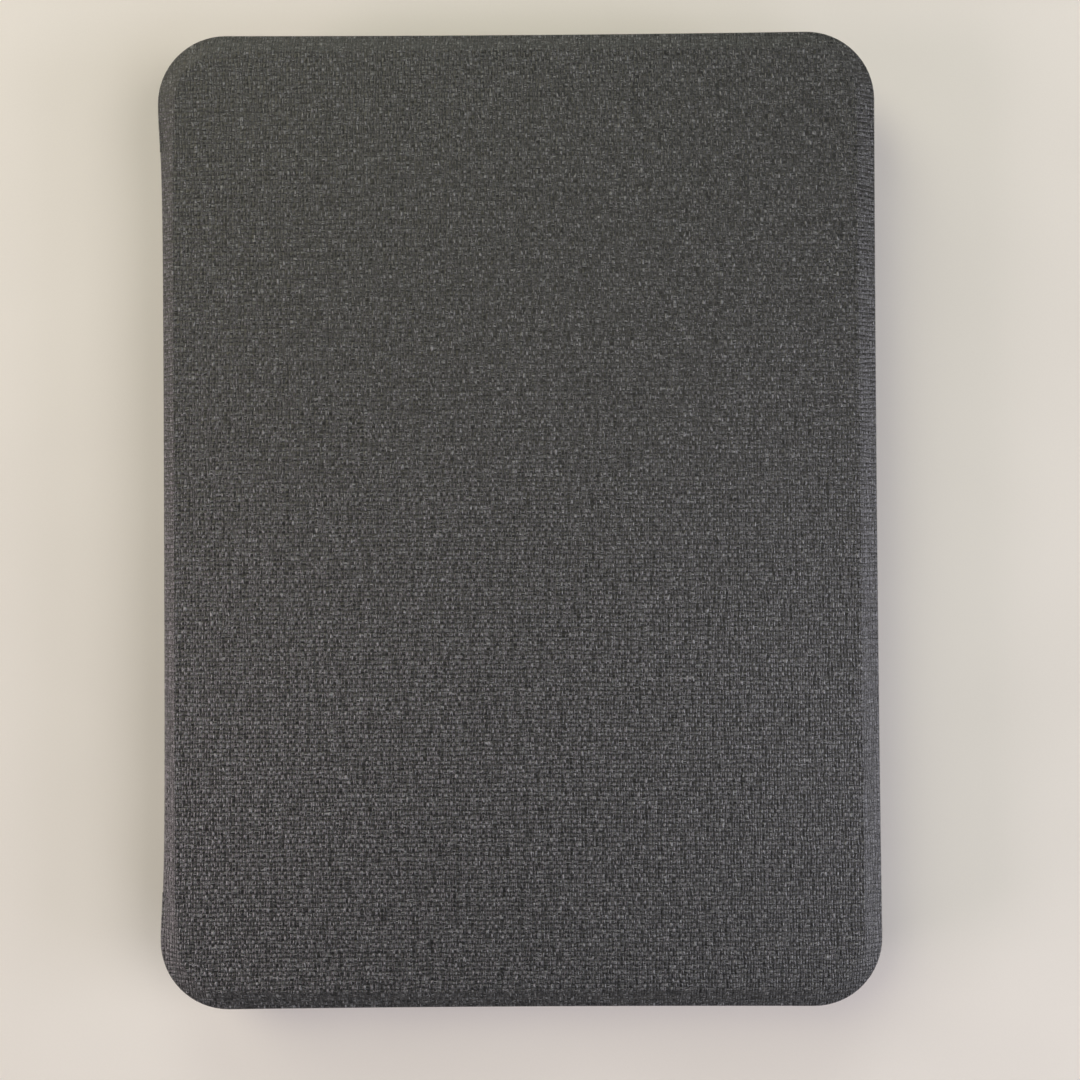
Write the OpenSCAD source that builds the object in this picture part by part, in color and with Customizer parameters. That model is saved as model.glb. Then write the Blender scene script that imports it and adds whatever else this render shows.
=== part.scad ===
// Folio case for a seven-inch tablet: a cloth-bound front cover and rear cover joined by a cloth
// spine, with a moulded shell on the rear cover that holds the tablet.
// The closed case lies on its rear cover: X runs from the spine to the free edge, Y from the foot
// to the head, Z up. The origin is the centre of the closed case's base. Millimetres.

/* [Tablet] */
// Width of the tablet that the case holds
tablet_w = 125; // [100:0.5:165]
// Height of the tablet
tablet_h = 174; // [140:0.5:230]
// Thickness of the tablet
tablet_t = 7.8; // [6:0.1:11]
// Corner radius of the tablet, seen from the front
tablet_r = 10; // [9:0.5:14]
// Free play between the tablet and each wall of the shell
tablet_play = 0.3; // [0.2:0.05:0.6]

/* [Shell] */
// Wall thickness of the moulded shell
shell_wall = 1.2; // [1:0.05:1.8]
// Floor thickness of the moulded shell
shell_floor = 1; // [0.8:0.05:1.6]
// How far the lips reach in over the tablet
lip_w = 0.9; // [0.6:0.05:1.4]
// Thickness of the lips
lip_t = 0.7; // [0.5:0.05:1.2]
// Free height between the tablet and the lips
lip_play = 0.2; // [0.1:0.05:0.5]
// Length of each corner lip along a side, from the shell's corner
corner_lip = 26; // [20:1:32]
// Length of the lip in the middle of each long side
middle_lip = 26; // [16:1:40]
// Width of the notch for the charging port and the power button
notch_w = 46; // [30:1:60]
// Height of the wall that stays under the notch, above the shell's floor
notch_sill = 0.8; // [0.4:0.1:2]
// Corner radius of the notch
notch_r = 2; // [1:0.25:3]
// Radius of the shell's lower outer edge
shell_edge_r = 0.9; // [0.5:0.05:1]
// Thickness of the soft pad in the shell
pad_t = 0.3; // [0.2:0.05:0.6]
// Margin between the pad and the shell's walls
pad_margin = 0.5; // [0.3:0.1:2]

/* [Covers] */
// Thickness of the outer cloth
skin_t = 0.5; // [0.4:0.05:0.8]
// Thickness of the stiffening boards in the covers
board_t = 1.2; // [0.9:0.05:1.6]
// Thickness of the lining
lining_t = 0.3; // [0.2:0.05:0.5]
// Corner radius of the covers
corner_r = 12.7; // [11:0.1:18]
// Width of the bevelled border round each board
border_w = 3.4; // [2.9:0.05:4.5]
// Width of the hem, where the cloth is turned in
hem_w = 8; // [6:0.25:10]
// Distance from a cover's edge to the edge of its lining
lining_margin = 1; // [0.8:0.05:2]
// How far the covers stand out past the shell at the head and the foot
end_overhang = 2.25; // [1.5:0.05:4]
// How far the covers stand out past the shell at the free edge
free_overhang = 1.8; // [1.2:0.05:4]
// Gap between the closed front cover and the shell
closing_gap = 0.3; // [0.2:0.05:1]
// Margin of the adhesive sheet inside the hems
adhesive_margin = 1; // [0.5:0.25:5]

/* [Spine] */
// Thickness of the spine's stiffening board
spine_board_t = 0.8; // [0.5:0.05:1.2]
// Length of each end of the covers that the spine leaves free
free_end = 22; // [20:0.5:35]
// Free width between the spine's lining and the shell
spine_gap = 2; // [1.5:0.05:4]
// Distance from the spine board to each fold
spine_board_inset = 0.6; // [0.4:0.05:1.2]
// Gap between the spine's ends and the free ends of the covers
relief_gap = 0.3; // [0.2:0.05:1]

/* [Magnets] */
// Length of a closure magnet
magnet_l = 12; // [8:0.5:16]
// Width of a closure magnet
magnet_w = 4; // [3:0.25:6]
// Thickness of every magnet
magnet_t = 0.8; // [0.5:0.05:0.85]
// Distance of the closure magnets' middle line from the board's free edge
magnet_inset = 3.5; // [3.2:0.1:8]
// Distance of the inner pair of closure magnets from the middle of the cover
inner_pair_y = 22; // [12:0.5:26]
// Distance of the outer pair of closure magnets from the middle of the cover
outer_pair_y = 58; // [45:0.5:62]
// Diameter of the wake magnet
wake_d = 6; // [4:0.25:8]
// Distance of the wake magnet from the board's free edge
wake_inset = 14; // [12:0.5:30]
// Distance of the wake magnet from the board's foot
wake_y = 24; // [15:0.5:40]
// Clearance round a magnet in its pocket
pocket_play = 0.1; // [0.05:0.05:0.3]

/* [Hidden] */

$fn = 72;
overlap = 1;                       // how far a cutting tool runs past what it cuts
edge_steps = 6;                    // flats that round each half of a folded cloth edge

cloth_colour = "#4b4b4c";
lining_colour = "#2b2b2d";
board_colour = "#8d8273";
shell_colour = "#17181a";
adhesive_colour = "#d9d6c8";
magnet_colour = "#b8babd";

// Shell
pocket_w = tablet_w + 2 * tablet_play;
pocket_h = tablet_h + 2 * tablet_play;
pocket_r = tablet_r + tablet_play;
shell_w = pocket_w + 2 * shell_wall;
shell_h = pocket_h + 2 * shell_wall;
shell_r = pocket_r + shell_wall;
shell_height = shell_floor + pad_t + tablet_t + lip_play + lip_t;
shell_rim = shell_wall + lip_w + 2; // width of the swept rim that carries wall, lip and floor edge

// Covers: one cover is drawn with its outer face at height 0 and its lining upwards
board_low = skin_t;
board_high = skin_t + board_t;
hem_high = board_high + skin_t;
cover_t = hem_high + lining_t;
total_t = 2 * cover_t + shell_height + closing_gap;

// Spine and folds
fold_r = cover_t + closing_gap;
end_proud = border_w - fold_r;     // how far the free ends of the covers stand out past the spine
spine_t = skin_t + spine_board_t + lining_t;
spine_low = fold_r;
spine_high = total_t - fold_r;

// Overall size, from the shell outwards
cover_h = shell_h + 2 * end_overhang;
cover_w = free_overhang + shell_w + spine_gap + spine_t + end_proud;
shell_x = cover_w / 2 - free_overhang - shell_w / 2;
spine_x = -cover_w / 2 + end_proud; // outer face of the spine
fold_x = spine_x + fold_r;          // where a cover's flat face meets its fold
spine_len = cover_h - 2 * free_end;
board_left = fold_x + lining_t;
board_right = cover_w / 2 - border_w;
board_half_h = cover_h / 2 - border_w;

// A rectangle with round corners, centred
module rounded_rect(w, h, r) {
    square([w - 2 * r, h], center = true);
    square([w, h - 2 * r], center = true);
    for (x = [-1, 1], y = [-1, 1])
        translate([x * (w / 2 - r), y * (h / 2 - r)])
            circle(r);
}

// The outline of a cover, moved in by inset
module cover_outline(inset) {
    rounded_rect(cover_w - 2 * inset, cover_h - 2 * inset, corner_r - inset);
}

// Sweeps a profile round a rectangle with round corners. The profile's x is the distance from the
// corner's centre, so x = r is the outline, and its y is the height.
module sweep_round(w, h, r) {
    for (corner = [0:3]) {
        x = (corner == 0 || corner == 3 ? 1 : -1) * (w / 2 - r);
        y = (corner < 2 ? 1 : -1) * (h / 2 - r);
        side = (corner % 2 == 0 ? w : h) - 2 * r;
        translate([x, y, 0])
            rotate([0, 0, 90 * corner]) {
                rotate_extrude(angle = 90)
                    children();
                rotate([0, 0, 90])
                    translate([0, side, 0])
                        rotate([90, 0, 0])
                            linear_extrude(side)
                                children();
            }
    }
}

// A prism along Y, centred, of a shape drawn in X and Z
module along_y(length) {
    translate([0, length / 2, 0])
        rotate([90, 0, 0])
            linear_extrude(length)
                children();
}

// The lower hinge line's shapes, moved to the upper one
module at_front() {
    translate([0, 0, total_t])
        mirror([0, 0, 1])
            children();
}

// Cross-section of the cloth at a cover's edge: the bevel, the folded edge and the turned-in hem
function folded_edge() = [
    for (step = [0:2 * edge_steps])
        let (turn = 90 * step / edge_steps)
        [corner_r - skin_t + skin_t * sin(turn), board_high - skin_t * cos(turn)]
];

module hem_profile() {
    flat_x = corner_r - border_w;
    hem_x = corner_r - hem_w;
    fold_inside = corner_r - 1.5 * skin_t;
    polygon(concat(
        [[flat_x, 0]],
        folded_edge(),
        [[hem_x, hem_high], [hem_x, board_high], [fold_inside, board_high], [flat_x, board_low]]
    ));
}

// Outer cloth of one cover, with its hem left out along the spine
module cover_skin() {
    relief = spine_len + 2 * relief_gap;
    linear_extrude(skin_t)
        cover_outline(border_w);
    difference() {
        sweep_round(cover_w, cover_h, corner_r)
            hem_profile();
        translate([-cover_w / 2 - overlap, -relief / 2, -overlap])
            cube([border_w + overlap, relief, cover_t + 2 * overlap]);
        translate([-cover_w / 2, -relief / 2, board_high])
            cube([hem_w + overlap, relief, cover_t]);
    }
}

module board_outline() {
    r = corner_r - border_w;
    intersection() {
        cover_outline(border_w);
        translate([board_left, -board_half_h])
            square([board_right - board_left, 2 * board_half_h]);
    }
    // the left-hand corners keep their full radius behind the trimmed edge
    translate([board_left, -board_half_h + r])
        square([r, 2 * (board_half_h - r)]);
}

module cover_board() {
    translate([0, 0, board_low])
        linear_extrude(board_t)
            board_outline();
}

// The area inside the hems, where the lining lies on the board
module inside_hems(inset) {
    half = spine_len / 2 + relief_gap - inset;
    cover_outline(hem_w + inset);
    translate([fold_x, -half])
        square([hem_w + corner_r, 2 * half]);
}

module cover_lining() {
    translate([0, 0, hem_high])
        linear_extrude(lining_t)
            difference() {
                cover_outline(lining_margin);
                inside_hems(lining_t);
                translate([-cover_w / 2 - overlap, -spine_len / 2 - relief_gap])
                    square([border_w + overlap, spine_len + 2 * relief_gap]);
            }
    translate([0, 0, board_high])
        linear_extrude(skin_t)
            difference() {
                inside_hems(0);
                inside_hems(lining_t);
            }
    translate([0, 0, board_high])
        linear_extrude(lining_t)
            inside_hems(0);
    translate([fold_x, -spine_len / 2, board_low])
        cube([lining_t, spine_len, board_t]);
}

// A quarter ring of cloth at the fold, between two radii
module fold_strip(outer_r, inner_r) {
    translate([fold_x, 0, fold_r])
        along_y(spine_len)
            intersection() {
                difference() {
                    circle(outer_r);
                    circle(inner_r);
                }
                translate([-outer_r, -outer_r])
                    square(outer_r);
            }
}

module hinge_skin() {
    fold_strip(fold_r, fold_r - skin_t);
}

module hinge_lining() {
    fold_strip(fold_r - skin_t, fold_r - skin_t - lining_t);
}

module tablet_shell_profile() {
    outer = shell_r;
    inner = shell_r - shell_wall;
    tip = inner - lip_w;
    rim = shell_r - shell_rim;
    top_r = shell_wall / 3;
    polygon(concat(
        [[rim, 0]],
        [for (step = [0:edge_steps])
            let (turn = 90 * step / edge_steps)
            [outer - shell_edge_r + shell_edge_r * sin(turn), shell_edge_r - shell_edge_r * cos(turn)]],
        [for (step = [0:edge_steps])
            let (turn = 90 * step / edge_steps)
            [outer - top_r + top_r * cos(turn), shell_height - top_r + top_r * sin(turn)]],
        [
            [tip, shell_height],
            [tip, shell_height - lip_t / 2],
            [inner, shell_height - lip_t],
            [inner, shell_floor],
            [rim, shell_floor]
        ]
    ));
}

// The stretches of the rim, seen from above, that have no lip
module lip_gaps() {
    open_w = shell_w - 2 * corner_lip;
    open_h = shell_h - 2 * corner_lip;
    intersection() {
        rounded_rect(pocket_w, pocket_h, pocket_r);
        union() {
            square([open_w, shell_h], center = true);
            difference() {
                square([shell_w, open_h], center = true);
                square([shell_w, middle_lip], center = true);
            }
        }
    }
}

module notch_shape() {
    floor_z = shell_floor + notch_sill;
    square_h = shell_height - floor_z + overlap;
    translate([-notch_w / 2, floor_z + notch_r])
        square([notch_w, square_h - notch_r]);
    translate([-notch_w / 2 + notch_r, floor_z])
        square([notch_w - 2 * notch_r, square_h]);
    for (x = [-1, 1])
        translate([x * (notch_w / 2 - notch_r), floor_z + notch_r])
            circle(notch_r);
}

// Rear cover
module rear_skin() {
    color(cloth_colour)
        cover_skin();
}

module rear_board() {
    color(board_colour)
        cover_board();
}

module rear_lining() {
    color(lining_colour)
        cover_lining();
}

module shell_adhesive() {
    color(adhesive_colour)
        translate([0, 0, board_high + lining_t])
            linear_extrude(skin_t)
                intersection() {
                    cover_outline(hem_w + lining_t + adhesive_margin);
                    translate([shell_x, 0])
                        rounded_rect(shell_w, shell_h, shell_r);
                }
}

module tablet_shell() {
    rim_inset = 2 * shell_rim;
    color(shell_colour)
        translate([shell_x, 0, cover_t])
            difference() {
                union() {
                    sweep_round(shell_w, shell_h, shell_r)
                        tablet_shell_profile();
                    linear_extrude(shell_floor)
                        rounded_rect(shell_w - rim_inset, shell_h - rim_inset, shell_r - shell_rim);
                }
                translate([0, 0, shell_height - lip_t - overlap])
                    linear_extrude(lip_t + 2 * overlap)
                        lip_gaps();
                translate([0, -shell_h / 2, 0])
                    along_y(4 * shell_wall)
                        notch_shape();
            }
}

module shell_pad() {
    pad_inset = 2 * pad_margin;
    color(lining_colour)
        translate([shell_x, 0, cover_t + shell_floor])
            linear_extrude(pad_t)
                rounded_rect(pocket_w - pad_inset, pocket_h - pad_inset, pocket_r - pad_margin);
}

module rear_hinge_skin() {
    color(cloth_colour)
        hinge_skin();
}

module rear_hinge_lining() {
    color(lining_colour)
        hinge_lining();
}

// Spine
module spine_skin() {
    color(cloth_colour)
        translate([spine_x, -spine_len / 2, spine_low])
            cube([skin_t, spine_len, spine_high - spine_low]);
}

module spine_board() {
    height = spine_high - spine_low - 2 * spine_board_inset;
    length = spine_len - 2 * spine_board_inset;
    color(board_colour)
        translate([spine_x + skin_t, -length / 2, spine_low + spine_board_inset])
            cube([spine_board_t, length, height]);
}

// The lining steps off the board onto the cloth at each fold
module spine_lining() {
    low = spine_low;
    high = spine_high;
    step_low = low + spine_board_inset;
    step_high = high - spine_board_inset;
    on_cloth = spine_x + skin_t;
    on_board = on_cloth + spine_board_t;
    color(lining_colour)
        along_y(spine_len)
            polygon([
                [on_cloth, low], [on_board, step_low], [on_board, step_high], [on_cloth, high],
                [on_cloth + lining_t, high], [on_board + lining_t, step_high],
                [on_board + lining_t, step_low], [on_cloth + lining_t, low]
            ]);
}

// Front cover
module front_hinge_skin() {
    color(cloth_colour)
        at_front()
            hinge_skin();
}

module front_hinge_lining() {
    color(lining_colour)
        at_front()
            hinge_lining();
}

module front_skin() {
    color(cloth_colour)
        at_front()
            cover_skin();
}

// The closure magnets' places in the board, measured from the cover's outer face
module at_closure_magnets() {
    for (y = [-outer_pair_y, -inner_pair_y, inner_pair_y, outer_pair_y])
        translate([board_right - magnet_inset, y, board_high - magnet_t])
            children();
}

module at_wake_magnet() {
    translate([board_right - wake_inset, -board_half_h + wake_y, board_high - magnet_t])
        children();
}

module front_board() {
    pocket = [magnet_w + 2 * pocket_play, magnet_l + 2 * pocket_play, magnet_t + overlap];
    color(board_colour)
        at_front()
            difference() {
                cover_board();
                at_closure_magnets()
                    translate([-pocket.x / 2, -pocket.y / 2, 0])
                        cube(pocket);
                at_wake_magnet()
                    cylinder(d = wake_d + 2 * pocket_play, h = magnet_t + overlap);
            }
}

module closure_magnets() {
    color(magnet_colour)
        at_front()
            at_closure_magnets()
                translate([-magnet_w / 2, -magnet_l / 2, 0])
                    cube([magnet_w, magnet_l, magnet_t]);
}

module wake_magnet() {
    color(magnet_colour)
        at_front()
            at_wake_magnet()
                cylinder(d = wake_d, h = magnet_t);
}

module front_lining() {
    color(lining_colour)
        at_front()
            cover_lining();
}

rear_skin();
rear_board();
rear_lining();
shell_adhesive();
tablet_shell();
shell_pad();
rear_hinge_skin();
rear_hinge_lining();
spine_skin();
spine_board();
spine_lining();
front_hinge_skin();
front_hinge_lining();
front_skin();
front_board();
closure_magnets();
wake_magnet();
front_lining();
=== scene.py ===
"""Book-style tablet case: its cloth, linings, shell and stage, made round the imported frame.

The closed case lies on its rear cover. X runs from the spine to the free edge, Y from the foot to
the head and Z up, in metres.
"""

import logging
import math
from collections.abc import Callable, Iterable
from dataclasses import dataclass, field
from enum import Enum

import bmesh
import bpy
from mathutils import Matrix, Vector


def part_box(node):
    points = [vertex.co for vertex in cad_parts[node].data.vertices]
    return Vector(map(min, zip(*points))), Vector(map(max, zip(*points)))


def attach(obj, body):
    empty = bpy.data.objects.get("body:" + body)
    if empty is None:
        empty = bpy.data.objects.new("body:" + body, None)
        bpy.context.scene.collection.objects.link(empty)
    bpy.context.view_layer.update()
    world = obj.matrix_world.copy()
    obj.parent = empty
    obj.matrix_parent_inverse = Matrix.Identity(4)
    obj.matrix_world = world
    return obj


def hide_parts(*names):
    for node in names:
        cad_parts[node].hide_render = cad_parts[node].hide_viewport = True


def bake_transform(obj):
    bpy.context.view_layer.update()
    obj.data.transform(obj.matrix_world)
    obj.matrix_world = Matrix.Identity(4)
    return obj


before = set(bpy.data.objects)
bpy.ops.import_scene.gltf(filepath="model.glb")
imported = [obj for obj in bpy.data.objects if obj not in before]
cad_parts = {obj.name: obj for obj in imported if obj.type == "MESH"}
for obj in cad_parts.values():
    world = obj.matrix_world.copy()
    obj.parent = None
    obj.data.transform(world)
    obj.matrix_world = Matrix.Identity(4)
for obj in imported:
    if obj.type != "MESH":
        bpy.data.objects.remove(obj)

log = logging.getLogger("tablet_case")

MM = 0.001
TINY = 0.01 * MM
CLOTH_MAP = "cloth"

Socket = bpy.types.NodeSocket
Rule = Callable[[Vector], bool]
Unroll = Callable[[Vector], tuple[float, float]]


class Side(Enum):
    """Which cover a piece belongs to."""

    FRONT = "front"
    REAR = "rear"


class Pick(Enum):
    """What a selection is made of, and the select mode that goes with it."""

    POINTS = (True, False, False)
    EDGES = (False, True, False)
    FACES = (False, False, True)


# ---------------------------------------------------------------------------------------------
# Modelling
# ---------------------------------------------------------------------------------------------


class Workpiece:
    """One mesh on the bench: it starts as a primitive and is shaped in edit mode."""

    def __init__(self, name: str, size: tuple[float, float, float]) -> None:
        """Takes the primitive that was just added, and opens it in edit mode.

        Args:
            name: The piece's name.
            size: Its width, length and height.
        """
        self.obj = bpy.context.object
        self.obj.name = self.obj.data.name = name
        self.obj.scale = size
        bpy.ops.object.transform_apply(location=True, rotation=True, scale=True)
        bpy.ops.object.mode_set(mode="EDIT")
        bpy.ops.mesh.select_all(action="DESELECT")

    @classmethod
    def block(cls, name: str, size: tuple[float, float, float], centre: Vector) -> "Workpiece":
        """Starts from a cube of the given size.

        Args:
            name: The piece's name.
            size: Its width, length and height.
            centre: Its middle.

        Returns:
            The workpiece, open in edit mode with nothing selected.
        """
        bpy.ops.object.select_all(action="DESELECT")
        bpy.ops.mesh.primitive_cube_add(size=1, location=centre)
        return cls(name, size)

    @classmethod
    def plate(cls, name: str, size: tuple[float, float], centre: Vector) -> "Workpiece":
        """Starts from a flat plane that faces up.

        Args:
            name: The piece's name.
            size: Its width and length.
            centre: Its middle.

        Returns:
            The workpiece, open in edit mode with nothing selected.
        """
        bpy.ops.object.select_all(action="DESELECT")
        bpy.ops.mesh.primitive_plane_add(size=1, location=centre)
        return cls(name, (*size, 1))

    def _elements(self, cage: bmesh.types.BMesh, pick: Pick) -> Iterable:
        """The cage's points, edges or faces."""
        return {Pick.POINTS: cage.verts, Pick.EDGES: cage.edges, Pick.FACES: cage.faces}[pick]

    def select(self, pick: Pick, rule: Callable) -> "Workpiece":
        """Selects what suits a rule, and nothing else.

        Args:
            pick: Points, edges or faces.
            rule: Tells of one of them whether to take it.

        Returns:
            This workpiece.
        """
        bpy.ops.mesh.select_all(action="DESELECT")
        bpy.context.tool_settings.mesh_select_mode = pick.value
        cage = bmesh.from_edit_mesh(self.obj.data)
        for element in self._elements(cage, pick):
            element.select_set(rule(element))
        cage.select_flush_mode()
        bmesh.update_edit_mesh(self.obj.data)
        return self

    def faces(self, rule: Rule) -> "Workpiece":
        """Selects the faces whose middle suits a rule."""
        return self.select(Pick.FACES, lambda face: rule(face.calc_center_median()))

    def points(self, rule: Rule) -> "Workpiece":
        """Selects the points whose place suits a rule."""
        return self.select(Pick.POINTS, lambda point: rule(point.co))

    def edges(self, rule: Rule) -> "Workpiece":
        """Selects the edges whose two ends both suit a rule."""
        return self.select(Pick.EDGES, lambda edge: all(rule(end.co) for end in edge.verts))

    def rims(self, rule: Rule) -> "Workpiece":
        """Selects the open edges whose two ends both suit a rule."""
        return self.select(
            Pick.EDGES, lambda edge: edge.is_boundary and all(rule(end.co) for end in edge.verts)
        )

    def round_corners(self, radius: float, steps: int) -> "Workpiece":
        """Rounds a block's four upright edges, or a plate's four corners.

        Args:
            radius: Radius of the round.
            steps: How many flats it is made of.

        Returns:
            This workpiece.
        """
        flat = self.obj.dimensions.z < TINY
        if flat:
            self.points(lambda place: True)
        else:
            self.select(
                Pick.EDGES, lambda edge: abs(edge.verts[0].co.z - edge.verts[1].co.z) > TINY
            )
        bpy.ops.mesh.bevel(
            offset=radius,
            offset_type="OFFSET",
            segments=steps,
            affect="VERTICES" if flat else "EDGES",
        )
        return self

    def slice(self, axis: int, places: Iterable[float]) -> "Workpiece":
        """Cuts every face along planes square to an axis, and keeps both sides.

        Args:
            axis: 0, 1 or 2 for X, Y or Z.
            places: Where the planes stand on that axis.

        Returns:
            This workpiece.
        """
        normal = [0.0, 0.0, 0.0]
        normal[axis] = 1.0
        for place in places:
            bpy.ops.mesh.select_all(action="SELECT")
            bpy.ops.mesh.bisect(plane_co=[place * n for n in normal], plane_no=normal)
        bpy.ops.mesh.select_all(action="DESELECT")
        return self

    def inset(self, steps: Iterable[tuple[float, float]], open_edges: bool = False) -> "Workpiece":
        """Insets the selected faces again and again, in from their outline.

        Args:
            steps: For each inset, how far in and how far out along the faces' normal.
            open_edges: Whether the sheet's open edges count as outline too.

        Returns:
            This workpiece, with the innermost faces selected.
        """
        for inwards, outwards in steps:
            bpy.ops.mesh.inset(thickness=inwards, depth=outwards, use_boundary=open_edges)
        return self

    def extrude(self, move: Vector) -> "Workpiece":
        """Extrudes the selected edges by a straight move, and leaves the new ones selected."""
        bpy.ops.mesh.extrude_edges_move(TRANSFORM_OT_translate={"value": move})
        return self

    def spin(self, centre: Vector, turn: float, steps: int) -> "Workpiece":
        """Spins the selected edges about a line along Y.

        Args:
            centre: A point on the line.
            turn: The angle in radians. Positive takes what is above the line towards -X.
            steps: How many rows of faces it makes.

        Returns:
            This workpiece, with the last row's edges selected.
        """
        bpy.ops.mesh.spin(steps=steps, angle=turn, center=centre, axis=(0, 1, 0))
        return self

    def flatten(self, height: float) -> "Workpiece":
        """Brings the selected points to one height."""
        bpy.ops.transform.resize(value=(1, 1, 0), center_override=(0, 0, height))
        return self

    def remove(self, kind: str = "FACE") -> "Workpiece":
        """Deletes what is selected: FACE, EDGE or VERT."""
        bpy.ops.mesh.delete(type=kind)
        return self

    def cap(self) -> "Workpiece":
        """Fills the selected loop of edges with one face."""
        bpy.ops.mesh.edge_face_add()
        return self

    def mirrored(self, height: float) -> "Workpiece":
        """Turns the shape upside down through a level plane.

        Args:
            height: The plane's height.

        Returns:
            This workpiece.
        """
        bpy.ops.mesh.select_all(action="SELECT")
        bpy.ops.transform.resize(value=(1, 1, -1), center_override=(0, 0, height))
        bpy.ops.mesh.flip_normals()
        return self

    def shift(self, move: Callable[[Vector], Vector]) -> "Workpiece":
        """Moves every point by an amount that depends on its place.

        Args:
            move: Gives the move of a point from its place.

        Returns:
            This workpiece.
        """
        cage = bmesh.from_edit_mesh(self.obj.data)
        for point in cage.verts:
            point.co += move(point.co)
        bmesh.update_edit_mesh(self.obj.data)
        return self

    def tidy(self) -> "Workpiece":
        """Joins points that meet.

        Returns:
            This workpiece, with nothing selected.
        """
        bpy.ops.mesh.select_all(action="SELECT")
        bpy.ops.mesh.remove_doubles(threshold=TINY / 2)
        bpy.ops.mesh.select_all(action="DESELECT")
        return self

    def close(self) -> bpy.types.Object:
        """Leaves edit mode, and gives the finished object."""
        bpy.ops.object.mode_set(mode="OBJECT")
        return self.obj

    def thicken(self, thickness: float) -> bpy.types.Object:
        """Leaves edit mode and gives the sheet its thickness, on the side away from its normals.

        Args:
            thickness: The sheet's thickness.

        Returns:
            The finished object.
        """
        obj = self.close()
        wall = obj.modifiers.new("thickness", "SOLIDIFY")
        wall.thickness = thickness
        wall.offset = -1
        wall.use_even_offset = True
        bpy.ops.object.modifier_apply(modifier=wall.name)
        return obj


def smooth(obj: bpy.types.Object, angle: float = 35) -> None:
    """Shades a piece smooth, with a crease wherever it turns sharply.

    Args:
        obj: The piece.
        angle: The least turn that makes a crease, in degrees.
    """
    bpy.ops.object.select_all(action="DESELECT")
    obj.select_set(True)
    bpy.context.view_layer.objects.active = obj
    bpy.ops.object.shade_smooth_by_angle(angle=math.radians(angle))


def lay_out(obj: bpy.types.Object, unroll: Unroll) -> None:
    """Gives a cloth piece its UV map, in metres along the unrolled cloth.

    Args:
        obj: The piece.
        unroll: Gives a point's place on the unrolled cloth.
    """
    mesh = obj.data
    while mesh.uv_layers:
        mesh.uv_layers.remove(mesh.uv_layers[0])
    layer = mesh.uv_layers.new(name=CLOTH_MAP)
    for loop in mesh.loops:
        layer.uv[loop.index].vector = unroll(mesh.vertices[loop.vertex_index].co)


def dress(obj: bpy.types.Object, material: bpy.types.Material) -> None:
    """Gives a piece or a CAD node its one material."""
    obj.data.materials.clear()
    obj.data.materials.append(material)


# ---------------------------------------------------------------------------------------------
# Finishes
# ---------------------------------------------------------------------------------------------


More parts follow.
